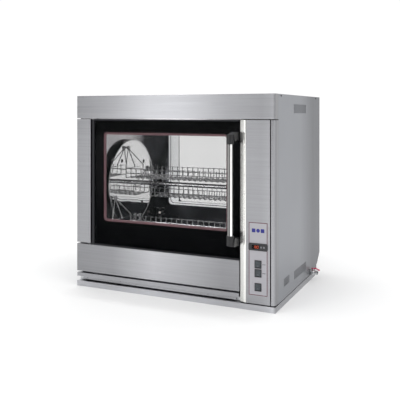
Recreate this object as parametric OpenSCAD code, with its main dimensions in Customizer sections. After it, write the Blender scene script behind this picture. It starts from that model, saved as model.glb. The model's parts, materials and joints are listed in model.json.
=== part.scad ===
// Countertop rotisserie oven: a folded sheet-metal cabinet with a glass door, four swing baskets
// carried by two turning discs, a drip drawer and a control column.
// Frame: X to the right, Y to the back, Z up, millimetres. The origin is the centre of the base's underside.

/* [Cabinet] */
// Overall width of the cabinet
body_w = 808; // [760:1:980]
// Overall depth from the front panels to the back of the rear cover
body_d = 610; // [590:1:740]
// Overall height
body_h = 740; // [720:1:890]
// Sheet thickness of the outer panels
sheet = 1.5; // [1:0.1:2]
// Height of the base plate's upturned walls
base_h = 20; // [16:1:30]
// Depth of the folded front panels
skin_d = 34; // [24:1:40]
// How far the rear cover stands out behind the side panels
rear_cover_d = 54; // [40:1:70]
// How far the base plate ends ahead of the side panels' rear edge
base_setback = 30; // [10:1:60]
// Open joint between neighbouring front panels
panel_gap = 3; // [2:0.5:5]

/* [Front panels] */
// Height of the header panel
header_h = 87; // [60:1:110]
// Width of the stile left of the door
stile_w = 62.5; // [50:0.5:80]
// Width of the control column right of the door
column_w = 128; // [118:1:140]
// Height of the lower front panel
lower_panel_h = 106; // [80:1:120]
// Height of the lower front panel's bottom edge above the ground
lower_panel_z = 59; // [57:1:70]
// Radius of the control column's rounded outer corner
corner_r = 14; // [8:1:20]

/* [Door] */
// Thickness of the outer pane
pane_t = 5; // [4:0.5:6]
// Radius of the rounded hinge stile
hinge_r = 7; // [6:0.5:8]
// Radius of the hinge pins
hinge_pin_r = 4; // [3:0.5:5]
// Width of the black border left of the clear window
border_left = 40; // [30:1:60]
// Width of the black border right of the clear window
border_right = 42; // [36:1:60]
// Height of the black border under the clear window
border_low = 89; // [60:1:100]
// Height of the black border over the clear window
border_top = 45; // [30:1:60]
// Corner radius of the clear window
window_r = 15; // [8:1:25]
// Diameter of the handle tube
handle_d = 20; // [16:1:24]
// Distance of the handle's axis in front of the door
handle_reach = 42; // [36:1:60]

/* [Cavity] */
// Space between the left side panel and the cavity, for insulation
left_space = 71; // [50:1:90]
// Depth of the cavity
cavity_d = 480; // [470:1:560]
// Height of the cavity floor above the ground
cavity_floor_z = 92; // [90:1:96]
// Space between the cavity ceiling and the top of the cabinet
top_space = 100; // [90:1:120]
// Radius of the heating elements' tube
heater_r = 4; // [3:0.5:5]

/* [Rotor] */
// Radius of the shaft
shaft_r = 9; // [7:0.5:11]
// Distance from the rotor's axis to each basket pin
pin_orbit_r = 155; // [145:1:158]
// Radius of the end discs
disc_r = 180; // [172:1:185]
// Radius of the basket pins
pin_r = 4; // [3:0.5:5]
// Width of a basket from front to back
basket_w = 140; // [110:1:142]
// Depth of a basket's trough
basket_depth = 42; // [30:1:46]
// Thickness of the basket wire
wire_t = 4; // [2.5:0.1:4.5]
// Spacing of the basket's cross wires
wire_pitch = 23.5; // [20:0.5:40]
// Angle of the first basket pin behind the shaft at rest
rest_angle = 18; // [10:1:25]

/* [Drive] */
// Gear module
gear_m = 2; // [2:0.5:2.5]
// Teeth on the rotor's gear
gear_teeth = 48; // [40:8:56]
// Teeth on the motor's pinion
pinion_teeth = 16; // [12:2:18]

/* [Controls] */
// Width of the label panel
label_w = 68; // [60:1:76]
// Height of the controller's face
controller_h = 25; // [22:1:30]
// Width of a rocker switch's cut-out
rocker_w = 20; // [17:0.5:22]
// Height of a rocker switch's cut-out
rocker_h = 23; // [20:0.5:26]

/* [Drip drawer] */
// Depth of the drip tray
tray_d = 400; // [300:1:420]
// Depth of the tray's trough
tray_h = 22; // [14:1:26]

/* [Clearances] */
// Radial running clearance of pins and shafts
run_gap = 0.05; // [0.02:0.01:0.1]
// Clearance around sliding and tilting pieces
slide_gap = 0.5; // [0.3:0.1:0.8]

/* [Hidden] */
big = 2000;

// Cabinet planes
half_w = body_w / 2;
front_y = -body_d / 2;
rear_y = body_d / 2;
seam_y = front_y + skin_d;
rear_seam_y = rear_y - rear_cover_d;
base_rear_y = rear_seam_y - base_setback;
base_gap = 2.5;
header_z = body_h - header_h;
lower_panel_top = lower_panel_z + lower_panel_h;

// Control column
column_x = half_w - column_w;
trim_w = 24;
fascia_x = column_x + trim_w;
fascia_end_x = half_w - corner_r - 5;
column_z0 = base_h + 4;
column_z1 = header_z - panel_gap;
flange_recess = 6;

// Door
stile_x = -half_w + stile_w;
hinge_gap = 3.5;
hinge_x = stile_x + hinge_gap + hinge_r;
hinge_y = front_y + hinge_r;
door_x0 = hinge_x + hinge_r;
door_x1 = column_x - 2;
door_z0 = lower_panel_top + 1.5;
door_z1 = header_z - panel_gap;
rail_h = 5;
pane_z0 = door_z0 + rail_h;
pane_z1 = door_z1 - rail_h;
win_x0 = door_x0 + border_left;
win_x1 = door_x1 - border_right;
win_z0 = pane_z0 + border_low;
win_z1 = pane_z1 - border_top;
print_t = 1;
seal_t = 6;
inner_pane_t = 4;
border_y = front_y + pane_t;
seal_y = border_y + print_t;
inner_pane_y = seal_y + seal_t;
door_back_y = inner_pane_y + inner_pane_t + 1;
gasket_t = 2.8;
handle_x = door_x1 - 17;
handle_y = front_y - handle_reach;
bracket_h = 43;
handle_z0 = door_z0 + 59;
handle_z1 = door_z1 - 51;

// Cavity
liner_t = 1.5;
cav_x0 = -half_w + left_space;
cav_x1 = column_x + 7;
cav_y0 = door_back_y + gasket_t + 0.2;
cav_y1 = cav_y0 + cavity_d;
cav_z0 = cavity_floor_z;
cav_z1 = body_h - top_space;
cav_mid_x = (cav_x0 + cav_x1) / 2;
mouth_x0 = door_x0 + 12;
mouth_x1 = door_x1 - 12;
mouth_z0 = door_z0 + 18;
mouth_z1 = door_z1 - 18;
frame_t = 1.5;

// Rear window
rwin_x0 = cav_x0 + 69;
rwin_x1 = cav_x1 - 69;
rwin_z0 = cav_z0 + 166;
rwin_z1 = cav_z1 - 22;
rwin_r = 18;
rear_pane_t = 4;

// Rotor
rotor_y = (cav_y0 + cav_y1) / 2;
basket_drop = pin_orbit_r - basket_depth - shaft_r - 27;
rotor_z = cav_z0 + 16 + pin_orbit_r + basket_drop + basket_depth;
disc_t = 2;
disc_gap = 21;
left_disc_x = cav_x0 + disc_gap;
right_disc_x = cav_x1 - disc_gap;
disc_hole_r = 8;
disc_hole_orbit = 125;
hub_r = 24;
hub_l = 16;
basket_end_gap = 40;
basket_x0 = left_disc_x + basket_end_gap;
basket_x1 = right_disc_x - basket_end_gap;
eye_r = 8;
eye_w = 8;
eye_x = left_disc_x + disc_t + 6;
pin_l = 18;
bearing_r = 16;
bearing_flange_r = 26;
shaft_x0 = cav_x0 - 16;
shaft_x1 = cav_x1 + 32;

// Drive
gear_x = cav_x1 + 14;
gear_w = 10;
mesh_z = rotor_z - gear_m * (gear_teeth + pinion_teeth) / 2 - 0.3;
gearbox_x = gear_x + gear_w + 8;
motor_shaft_r = 5;

// Controls
label_x0 = fascia_x + 9;
label_x1 = label_x0 + label_w;
label_z0 = column_z0 + 29;
label_z1 = label_z0 + 249;
label_t = 0.8;
label_mid_x = (label_x0 + label_x1) / 2;
controller_z = label_z0 + 165.5;
rocker_zs = [label_z0 + 106.5, label_z0 + 76.5, label_z0 + 29];
controller_r = 5;
rocker_border = 2;
rocker_body_d = 18;
rocker_tilt = 7;
rocker_pivot_y = front_y + 3;
rocker_axle_r = 1.2;
key_xs = [label_mid_x + 12, label_mid_x + 22];
key_w = 6;
key_travel = 1.2;

// Drip drawer
runner_t = 1.5;
tray_x0 = -half_w + 19;
tray_x1 = column_x - 18;
tray_z0 = base_h + 4;
tray_y0 = front_y + 16;
lip_z0 = tray_z0 + 14;
lip_z1 = lower_panel_z - 7;

// Services
fan_x = (cav_x1 + half_w) / 2 + 2;
fan_z = 170;
fan_r = 44;
fan_y = rear_seam_y - sheet - 26;
pipe_r = 8;
pipe_wall = 1.5;
pipe_y = cav_y1 - 43;
pipe_z = base_h + 12;
sump_x = cav_x1 - 25;
valve_x = half_w + 12;
lever_z = pipe_z + 15;
lever_l = 26;
gland_x = half_w - 60;
gland_z = base_h + 11.5;
gland_bore_r = 5.5;

// ---------- shared shapes ----------

// A box given by its lowest and highest corners
module block(lo, hi) {
    translate(lo) cube([hi[0] - lo[0], hi[1] - lo[1], hi[2] - lo[2]]);
}

// A cylinder along X
module bar_x(r, x0, x1, y, z, fn = 64) {
    translate([x0, y, z]) rotate([0, 90, 0]) cylinder(r = r, h = x1 - x0, $fn = fn);
}

// A cylinder along Y
module bar_y(r, y0, y1, x, z, fn = 64) {
    translate([x, y1, z]) rotate([90, 0, 0]) cylinder(r = r, h = y1 - y0, $fn = fn);
}

// A cylinder along Z
module bar_z(r, z0, z1, x, y, fn = 64) {
    translate([x, y, z0]) cylinder(r = r, h = z1 - z0, $fn = fn);
}

// A straight wire from point to point
module wire(a, b, t) {
    v = b - a;
    len = norm(v);
    translate(a) rotate([0, acos(v[2] / len), atan2(v[1], v[0])]) cylinder(r = t / 2, h = len, $fn = 8);
}

// A plate in the XZ plane with rounded corners, from y0 to y1
module round_plate(x0, x1, z0, z1, y0, y1, r) {
    block([x0 + r, y0, z0], [x1 - r, y1, z1]);
    block([x0, y0, z0 + r], [x1, y1, z1 - r]);
    for (x = [x0 + r, x1 - r], z = [z0 + r, z1 - r]) bar_y(r, y0, y1, x, z);
}

// A folded front panel: a box that is open at the back
module folded_panel(x0, x1, z0, z1) {
    difference() {
        block([x0, front_y, z0], [x1, seam_y, z1]);
        block([x0 + sheet, front_y + sheet, z0 + sheet], [x1 - sheet, seam_y + 1, z1 - sheet]);
    }
}

// A folded front panel beside the door: behind the front frame only its outer return goes on
module folded_frame_panel(x0, x1, z0, z1) {
    difference() {
        folded_panel(x0, x1, z0, z1);
        block([x0 + sheet, cav_y0, z0 - 1], [x1 + 1, seam_y + 1, z1 + 1]);
    }
}

// The rounded prism of the door window, grown by g
module window_cut(g, y0, y1) {
    round_plate(win_x0 - g, win_x1 + g, win_z0 - g, win_z1 + g, y0, y1, window_r + g);
}

// A row of pressed vent slots in a side panel, seen as upright slots
module vent_slots(x, y0, y1, z0, z1, pitch) {
    slot_w = pitch * 0.45;
    for (y = [y0 : pitch : y1 - slot_w]) block([x - 5, y, z0], [x + 5, y + slot_w, z1]);
}

// ---------- cabinet ----------

module base_plate() {
    lip = 12;
    color("silver") difference() {
        block([-half_w, front_y, 0], [half_w, base_rear_y, base_h]);
        block([-half_w + sheet, front_y + sheet, 2], [half_w - sheet, base_rear_y - sheet, base_h - sheet]);
        block([-half_w + lip, front_y + lip, 2], [half_w - lip, base_rear_y - lip, base_h + 1]);
    }
}

module side_panel(side) {
    flange = 12;
    x0 = side < 0 ? -half_w : half_w - sheet;
    fx0 = side < 0 ? -half_w + sheet : half_w - sheet - flange;
    union() {
        block([x0, seam_y + 0.5, base_h + base_gap], [x0 + sheet, rear_seam_y, body_h]);
        block([fx0, seam_y + 0.5, body_h - 2 * sheet], [fx0 + flange, rear_seam_y - sheet, body_h - sheet]);
    }
}

module left_side_panel() {
    color("darkgray") difference() {
        side_panel(-1);
        side_vents(-half_w);
    }
}

module right_side_panel() {
    color("darkgray") difference() {
        side_panel(1);
        side_vents(half_w);
        block([half_w - 3, pipe_y - pipe_r - 1, pipe_z - pipe_r - 1],
            [half_w + 1, pipe_y + pipe_r + 1, pipe_z + pipe_r + 1]);
    }
}

module side_vents(x) {
    vent_slots(x, rear_seam_y - 333, rear_seam_y - 168, body_h - 67, body_h - 34, 10);
    vent_slots(x, rear_seam_y - 330, rear_seam_y - 158, base_h + 38, base_h + 70, 10);
    vent_slots(x, rear_seam_y - 458, rear_seam_y - 388, base_h + 45, base_h + 73, 14);
}

module top_panel() {
    color("gainsboro")
        block([-half_w + sheet, seam_y + 0.5, body_h - sheet], [half_w - sheet, rear_seam_y, body_h]);
}

module rear_panel() {
    y1 = rear_seam_y;
    y0 = y1 - sheet;
    color("darkgray") difference() {
        block([-half_w + sheet, y0, base_h + 0.5], [half_w - sheet, y1, body_h - 2 * sheet]);
        block([rwin_x0 - 4, y0 - 1, rwin_z0 - 4], [rwin_x1 + 4, y1 + 1, rwin_z1 + 4]);
        for (z = [-3 : 3]) block([fan_x - 32, y0 - 1, fan_z + z * 10 - 2.5],
            [fan_x + 32, y1 + 1, fan_z + z * 10 + 2.5]);
        bar_y(8, y0 - 1, y1 + 1, gland_x, gland_z);
    }
}

module rear_cover() {
    low = base_h + 23;
    bevel_z = low + 40;
    module profile(g) {
        polygon([[rear_seam_y - (g > 0 ? 1 : 0), low + g], [rear_seam_y + 10, low + g],
            [rear_y - g, bevel_z + g * 0.4], [rear_y - g, body_h - g],
            [rear_seam_y - (g > 0 ? 1 : 0), body_h - g]]);
    }
    reveal_y = cav_y1 + liner_t + rear_pane_t;
    color("darkgray") difference() {
        union() {
            difference() {
                translate([-half_w, 0, 0]) rotate([90, 0, 90]) linear_extrude(body_w) profile(0);
                translate([-half_w + sheet, 0, 0]) rotate([90, 0, 90])
                    linear_extrude(body_w - 2 * sheet) profile(sheet);
            }
            block([rwin_x0 - 3, reveal_y, rwin_z0 - 3], [rwin_x1 + 3, rear_y - sheet / 2, rwin_z1 + 3]);
        }
        block([rwin_x0 - 1.5, reveal_y - 1, rwin_z0 - 1.5],
            [rwin_x1 + 1.5, rear_y - sheet, rwin_z1 + 1.5]);
        round_plate(rwin_x0, rwin_x1, rwin_z0, rwin_z1, rear_y - 3, rear_y + 1, rwin_r);
        for (i = [-8 : 8]) block([fan_x - 38, rear_y - 3, fan_z + i * 6 - 1.5],
            [fan_x + 38, rear_y + 1, fan_z + i * 6 + 1.5]);
    }
}

module header_panel() {
    color("lightgray") difference() {
        folded_panel(-half_w, half_w, header_z, body_h);
        bar_z(hinge_pin_r + 1, header_z - 1, header_z + sheet + 1, hinge_x, hinge_y);
    }
}

module left_stile() {
    color("lightgray")
        folded_frame_panel(-half_w, stile_x, lower_panel_top + panel_gap * 2, header_z - panel_gap);
}

module lower_front_panel() {
    color("lightgray") difference() {
        folded_frame_panel(-half_w, column_x - 2, lower_panel_z, lower_panel_top);
        bar_z(hinge_pin_r + 1, lower_panel_top - sheet - 1, lower_panel_top + 1, hinge_x, hinge_y);
    }
}

module column_trim() {
    r = trim_w / 2;
    color("white") translate([0, 0, column_z0]) linear_extrude(column_z1 - column_z0) difference() {
        union() {
            translate([column_x, front_y + flange_recess]) square([trim_w, sheet]);
            translate([column_x, front_y + flange_recess]) square([sheet, cav_y0 - front_y - flange_recess]);
            translate([column_x + r, front_y + 2]) square([r, r]);
            intersection() {
                translate([column_x + r + 6, front_y + 6]) circle(r = 6, $fn = 64);
                translate([column_x + r, front_y]) square([6, 6]);
            }
            translate([column_x + r + 6, front_y]) square([r - 6, 6]);
        }
        translate([column_x + r + sheet, front_y + flange_recess + sheet]) square([r, r]);
    }
}

module column_fascia() {
    color("lightgray") difference() {
        block([fascia_x, front_y, column_z0], [fascia_end_x, seam_y, column_z1]);
        block([fascia_x + sheet, front_y + sheet, column_z0 + sheet],
            [fascia_end_x - sheet, seam_y + 1, column_z1 - sheet]);
        control_cuts(1);
    }
}

// Cut-outs for the controller and the rocker switches, grown by g
module control_cuts(g) {
    round_plate(label_x0 + 3 - g, label_x1 - 3 + g, controller_z - controller_h / 2 + 3 - g,
        controller_z + controller_h / 2 - 3 + g, front_y - 5, front_y + 5, controller_r - 1 + g);
    for (z = rocker_zs) block([label_mid_x - rocker_w / 2 - 1 - g, front_y - 5, z - rocker_h / 2 - 1 - g],
        [label_mid_x + rocker_w / 2 + 1 + g, front_y + 5, z + rocker_h / 2 + 1 + g]);
}

module corner_strip() {
    w = corner_r;
    color("lightgray") translate([0, 0, column_z0]) linear_extrude(column_z1 - column_z0) difference() {
        union() {
            intersection() {
                translate([half_w - w, front_y + w]) circle(r = w, $fn = 96);
                translate([half_w - w, front_y]) square([w, w]);
            }
            translate([half_w - w - 1, front_y]) square([1, w]);
            translate([half_w - w - 1, front_y + w]) square([w + 1, skin_d - w]);
        }
        translate([half_w - w, front_y + w]) circle(r = w - sheet, $fn = 96);
        translate([half_w - w - 2, front_y + sheet]) square([2.5, big]);
        translate([half_w - w - 2, front_y + w]) square([w + 2 - sheet, big]);
    }
}

module label_panel() {
    color("silver") difference() {
        round_plate(label_x0, label_x1, label_z0, label_z1, front_y - label_t, front_y, 2);
        control_cuts(0.2);
    }
}

module rocker_frames() {
    hw = rocker_w / 2;
    hh = rocker_h / 2;
    b = rocker_border;
    color("black") for (z = rocker_zs) difference() {
        union() {
            block([label_mid_x - hw - b, front_y - label_t - 2, z - hh - b],
                [label_mid_x + hw + b, front_y - label_t, z + hh + b]);
            block([label_mid_x - hw - 1, front_y - label_t, z - hh - 1],
                [label_mid_x + hw + 1, front_y + rocker_body_d, z + hh + 1]);
        }
        block([label_mid_x - hw, front_y - 5, z - hh], [label_mid_x + hw, front_y + 13, z + hh]);
        bar_x(rocker_axle_r + run_gap, label_mid_x - hw - 0.8, label_mid_x + hw + 0.8, rocker_pivot_y, z, 32);
    }
}

module rocker(i) {
    hw = rocker_w / 2 - slide_gap;
    hh = rocker_h / 2 - 1.2;
    color("dimgray") translate([0, rocker_pivot_y, rocker_zs[i]]) rotate([-rocker_tilt, 0, 0]) {
        translate([label_mid_x - hw, 0, 0]) rotate([90, 0, 90]) linear_extrude(2 * hw)
            polygon([[-7, hh], [-5, 0], [-7, -hh], [3, -hh + 2], [6, 0], [3, hh - 2]]);
        bar_x(rocker_axle_r, label_mid_x - rocker_w / 2 - 0.6, label_mid_x + rocker_w / 2 + 0.6, 0, 0, 32);
    }
}

module rocker_1() { rocker(0); }
module rocker_2() { rocker(1); }
module rocker_3() { rocker(2); }

module controller_housing() {
    y0 = front_y - label_t;
    hh = controller_h / 2;
    color("black") difference() {
        union() {
            round_plate(label_x0, label_x1, controller_z - hh, controller_z + hh, y0 - 2.5, y0, controller_r);
            round_plate(label_x0 + 3.2, label_x1 - 3.2, controller_z - hh + 3.2, controller_z + hh - 3.2,
                y0, front_y + 14, controller_r - 1.2);
        }
        block([label_x0 + 12, y0 - 3, controller_z - 7], [label_mid_x + 6, y0 - 1.5, controller_z + 7]);
        for (x = key_xs) block([x - key_w / 2 - 0.3, y0 - 3, controller_z - key_w / 2 - 0.3],
            [x + key_w / 2 + 0.3, y0 + 3, controller_z + key_w / 2 + 0.3]);
    }
}

module key(i) {
    y0 = front_y - label_t - 2.5;
    color("gray") block([key_xs[i] - key_w / 2, y0 - key_travel, controller_z - key_w / 2],
        [key_xs[i] + key_w / 2, y0 + 5.5 - key_travel - 0.3, controller_z + key_w / 2]);
}

module key_up() { key(0); }
module key_down() { key(1); }

module control_board() {
    color("green") union() {
        block([fascia_x + 4, front_y + 14, controller_z - 26], [fascia_end_x - 4, front_y + 15.6, controller_z + 26]);
        for (x = [label_x0 + 6, label_mid_x, label_x1 - 14]) block([x, front_y + 15.5, controller_z - 20],
            [x + 12, front_y + 28, controller_z - 6]);
    }
}

// ---------- cavity ----------

module cavity_liner() {
    t = liner_t;
    color("gray") difference() {
        block([cav_x0 - t, cav_y0 + frame_t, cav_z0 - t], [cav_x1 + t, cav_y1 + t, cav_z1 + t]);
        block([cav_x0, cav_y0, cav_z0], [cav_x1, cav_y1, cav_z1]);
        round_plate(rwin_x0, rwin_x1, rwin_z0, rwin_z1, cav_y1 - 1, cav_y1 + t + 1, rwin_r);
        bar_x(bearing_r, cav_x0 - t - 1, cav_x1 + t + 1, rotor_y, rotor_z);
        bar_z(pipe_r, cav_z0 - t - 1, cav_z0 + 1, sump_x, pipe_y);
        for (y = heater_ys(), dy = [-1, 1]) bar_x(heater_r, cav_x1 - 1, cav_x1 + t + 1,
            y + dy * heater_bend, heater_z());
    }
}

heater_bend = 22;
function heater_z() = cav_z1 - 22;
function heater_ys() = [rotor_y - 150, rotor_y, rotor_y + 150];

module upper_heaters() {
    x0 = cav_x0 + 40;
    color("dimgray") for (y = heater_ys()) union() {
        for (dy = [-1, 1]) bar_x(heater_r, x0, cav_x1 + 12, y + dy * heater_bend, heater_z(), 32);
        translate([x0, y, heater_z()]) rotate([0, 0, 90]) rotate_extrude(angle = 180, $fn = 64)
            translate([heater_bend, 0]) circle(r = heater_r, $fn = 32);
    }
}

module front_frame() {
    color("gray") difference() {
        block([-half_w + sheet + 0.5, cav_y0, lower_panel_z - 4], [column_x, cav_y0 + frame_t, header_z]);
        block([mouth_x0, cav_y0 - 1, mouth_z0], [mouth_x1, cav_y0 + frame_t + 1, mouth_z1]);
    }
}

module rear_glass() {
    inner_y = cav_y1 + liner_t;
    color("lightcyan", 0.4) union() {
        block([rwin_x0 - 10, inner_y, rwin_z0 - 10], [rwin_x1 + 10, inner_y + rear_pane_t, rwin_z1 + 10]);
        block([rwin_x0 - 1.3, rear_y - sheet - rear_pane_t, rwin_z0 - 1.3],
            [rwin_x1 + 1.3, rear_y - sheet, rwin_z1 + 1.3]);
    }
}

module insulation_blanket() {
    t = 25;
    g = liner_t;
    color("khaki") difference() {
        block([cav_x0 - g - t, cav_y0 + 30, cav_z0 + 40], [cav_x1 + g, cav_y1, cav_z1 + g + t]);
        block([cav_x0 - g, cav_y0 + 29, cav_z0 + 39], [cav_x1 + g + 1, cav_y1 + 1, cav_z1 + g]);
        bar_x(bearing_flange_r + 4, cav_x0 - g - t - 1, cav_x0 - g + 1, rotor_y, rotor_z);
    }
}

module shaft_bearings() {
    for (s = [-1, 1]) {
        wall = s < 0 ? cav_x0 - liner_t : cav_x1 + liner_t;
        x_in = s < 0 ? cav_x0 : cav_x1;
        color("goldenrod") difference() {
            union() {
                bar_x(bearing_r, min(x_in, wall + s * 9), max(x_in, wall + s * 9), rotor_y, rotor_z);
                bar_x(bearing_flange_r, min(wall, wall + s * 4), max(wall, wall + s * 4), rotor_y, rotor_z);
            }
            bar_x(shaft_r + run_gap, wall - 20, wall + 20, rotor_y, rotor_z);
        }
    }
}

module lamp_housing() {
    x0 = cav_x0 + 8;
    z0 = cav_z0 + 106;
    color("silver") difference() {
        union() {
            block([x0, cav_y1 - 8, z0], [x0 + 42, cav_y1, z0 + 42]);
            bar_y(12, cav_y1 - 14, cav_y1 - 8, x0 + 21, z0 + 21);
        }
        bar_y(9, cav_y1 - 15, cav_y1 - 11, x0 + 21, z0 + 21);
    }
}

// ---------- drawer ----------

module drawer_runners() {
    y0 = front_y + 20;
    y1 = tray_y0 + tray_d;
    color("gray") union() {
        block([-half_w + sheet + 0.5, y0, base_h], [tray_x0 + 10, y1, tray_z0 - slide_gap]);
        block([-half_w + sheet + 0.5, y0, base_h], [tray_x0 - slide_gap, y1, tray_z0 + 14]);
        block([tray_x1 - 10, y0, base_h], [column_x - 4, y1, tray_z0 - slide_gap]);
        block([tray_x1 + slide_gap, y0, base_h], [column_x - 4, y1, tray_z0 + 14]);
        block([tray_x0, y1 - 3, base_h], [tray_x1, y1, tray_z0 - slide_gap]);
    }
}

module drip_tray() {
    t = 1.2;
    color("silver") difference() {
        block([tray_x0, tray_y0, tray_z0], [tray_x1, tray_y0 + tray_d, tray_z0 + tray_h]);
        block([tray_x0 + t, tray_y0 + t, tray_z0 + t], [tray_x1 - t, tray_y0 + tray_d - t, tray_z0 + tray_h + 1]);
    }
}

module drawer_front() {
    color("silver") difference() {
        block([-half_w + 0.5, front_y, lip_z0], [column_x - 3, tray_y0, lip_z1]);
        block([-half_w + 0.5 + sheet, front_y + sheet, lip_z0 - 1], [column_x - 3 - sheet, tray_y0 - sheet, lip_z1 - sheet]);
    }
}

// ---------- hinges and door ----------

module hinge_brackets() {
    plate = 3;
    for (z = [header_z + sheet, lower_panel_top - sheet - plate]) color("dimgray") difference() {
        block([hinge_x - 12, hinge_y - 5.5, z], [hinge_x + 40, cav_y0 - 0.01, z + plate]);
        bar_z(hinge_pin_r, z - 1, z + plate + 1, hinge_x, hinge_y);
    }
}

module hinge_pins() {
    depth = 14;
    color("silver") union() {
        bar_z(hinge_pin_r, door_z1 - depth, header_z + sheet + 3, hinge_x, hinge_y);
        bar_z(hinge_pin_r, lower_panel_top - sheet - 3, door_z0 + depth, hinge_x, hinge_y);
    }
}

module door_hinge_stile() {
    depth = 15;
    color("dimgray") difference() {
        union() {
            bar_z(hinge_r, door_z0, door_z1, hinge_x, hinge_y);
            block([hinge_x, front_y, door_z0], [door_x0, hinge_y + hinge_r, door_z1]);
        }
        bar_z(hinge_pin_r + run_gap, door_z1 - depth, door_z1 + 1, hinge_x, hinge_y);
        bar_z(hinge_pin_r + run_gap, door_z0 - 1, door_z0 + depth, hinge_x, hinge_y);
    }
}

module door_frame() {
    color("dimgray") difference() {
        block([door_x0, front_y, door_z0], [door_x1, door_back_y, door_z1]);
        block([door_x0 - 1, front_y - 1, pane_z0], [door_x1 + 1, seal_y, pane_z1]);
        window_cut(14, front_y - 2, door_back_y + 1);
    }
}

module door_outer_glass() {
    color("lightcyan", 0.4) block([door_x0, front_y, pane_z0], [door_x1, border_y, pane_z1]);
}

module glass_border() {
    color("black") difference() {
        block([door_x0, border_y, pane_z0], [door_x1, seal_y, pane_z1]);
        window_cut(0, border_y - 1, seal_y + 1);
    }
}

module door_glass_seal() {
    color("firebrick") difference() {
        window_cut(5, seal_y, inner_pane_y);
        window_cut(-8, seal_y - 1, inner_pane_y + 1);
    }
}

module door_inner_glass() {
    color("lightcyan", 0.4) window_cut(12, inner_pane_y, inner_pane_y + inner_pane_t);
}

module door_gasket() {
    g = 9;
    color("black") difference() {
        block([mouth_x0 - g, door_back_y, mouth_z0 - g], [mouth_x1 + g, door_back_y + gasket_t, mouth_z1 + g]);
        block([mouth_x0 - 2, door_back_y - 1, mouth_z0 - 2], [mouth_x1 + 2, cav_y0, mouth_z1 + 2]);
    }
}

module handle_tube() {
    color("silver") difference() {
        bar_z(handle_d / 2, handle_z0 + 2, handle_z1 - 2, handle_x, handle_y, 96);
        bar_z(handle_d / 2 - 1.5, handle_z0 + 1, handle_z1 - 1, handle_x, handle_y, 96);
    }
}

// A handle bracket: a cap around the tube's end on an angled leg that stands on the glass
module handle_bracket(z, up) {
    r = handle_d / 2 + 2.5;
    leg_w = handle_d / 2;
    mirror([0, 0, up < 0 ? 1 : 0]) translate([0, 0, up < 0 ? -z : z]) {
        difference() {
            bar_z(r, -bracket_h + 12, 2, handle_x, handle_y, 96);
            bar_z(handle_d / 2, -bracket_h + 11, -2, handle_x, handle_y, 96);
        }
        translate([handle_x - leg_w + 4, 0, 0]) rotate([90, 0, 90]) linear_extrude(leg_w * 2) polygon([
            [handle_y + handle_d / 2 + 1, -bracket_h + 20], [handle_y, 2], [handle_y + 8, 8],
            [front_y - 4, 8], [front_y - 4, -16]]);
        block([handle_x - leg_w, front_y - 4, -20], [handle_x + leg_w + 6, front_y, 10]);
    }
}

module handle_brackets() {
    color("dimgray") union() {
        difference() {
            union() {
                handle_bracket(handle_z1, 1);
                handle_bracket(handle_z0, -1);
            }
            bar_z(handle_d / 2, handle_z0 + 2, handle_z1 - 2, handle_x, handle_y, 96);
        }
    }
}

// ---------- rotor ----------

module rotor_shaft() {
    color("silver") bar_x(shaft_r, shaft_x0, shaft_x1, rotor_y, rotor_z);
}

module rotor_disc(x, side) {
    color("gainsboro") difference() {
        union() {
            bar_x(disc_r, x - disc_t / 2, x + disc_t / 2, rotor_y, rotor_z, 128);
            bar_x(hub_r, min(x, x + side * hub_l), max(x, x + side * hub_l), rotor_y, rotor_z);
        }
        bar_x(shaft_r, x - 40, x + 40, rotor_y, rotor_z);
        for (a = [0 : 90 : 270]) translate([0, rotor_y, rotor_z]) rotate([a + rest_angle + 22.5, 0, 0])
            bar_x(disc_hole_r, x - 5, x + 5, disc_hole_orbit, 0);
        for (i = [0 : 3]) bar_x(pin_r, x - 5, x + 5, pin_y(i), pin_z(i), 48);
    }
}

function pin_y(i) = rotor_y + pin_orbit_r * cos(rest_angle + 90 * i);
function pin_z(i) = rotor_z + pin_orbit_r * sin(rest_angle + 90 * i);

module left_rotor_disc() { rotor_disc(left_disc_x, -1); }
module right_rotor_disc() { rotor_disc(right_disc_x, 1); }

module carrier_pins() {
    head = 3;
    color("silver") for (s = [-1, 1], i = [0 : 3]) {
        x = s < 0 ? left_disc_x : right_disc_x;
        a = x + s * (disc_t / 2 + head);
        b = x - s * pin_l;
        translate([0, pin_y(i), pin_z(i)]) union() {
            bar_x(pin_r, min(a, b), max(a, b), 0, 0, 48);
            bar_x(pin_r + 3, min(a, a - s * head), max(a, a - s * head), 0, 0, 48);
            bar_x(pin_r + 2.5, min(b, b + s * 2), max(b, b + s * 2), 0, 0, 48);
        }
    }
}

// A toothed wheel along X with straight-flanked teeth, the first tooth at angle turn
module toothed_wheel(teeth, r_bore, w, turn) {
    pitch_r = gear_m * teeth / 2;
    step = 360 / teeth;
    root = pitch_r - 1.25 * gear_m;
    tip = pitch_r + 0.9 * gear_m;
    pts = [for (k = [0 : teeth - 1], c = [[root, -0.36], [tip, -0.12], [tip, 0.12], [root, 0.36]])
        c[0] * [cos((k + c[1]) * step + turn), sin((k + c[1]) * step + turn)]];
    rotate([90, 0, 90]) linear_extrude(w) difference() {
        polygon(pts);
        circle(r = r_bore, $fn = 64);
    }
}

module drive_gear() {
    color("slategray") translate([gear_x, rotor_y, rotor_z]) {
        toothed_wheel(gear_teeth, shaft_r, gear_w, 90);
        difference() {
            bar_x(shaft_r + 9, gear_w - 0.5, gear_w + 5, 0, 0);
            bar_x(shaft_r, gear_w - 1, gear_w + 6, 0, 0);
        }
    }
}

module motor_pinion() {
    color("slategray") translate([gear_x, rotor_y, mesh_z])
        toothed_wheel(pinion_teeth, motor_shaft_r + run_gap, gear_w, 90 + 180 / pinion_teeth);
}

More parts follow.
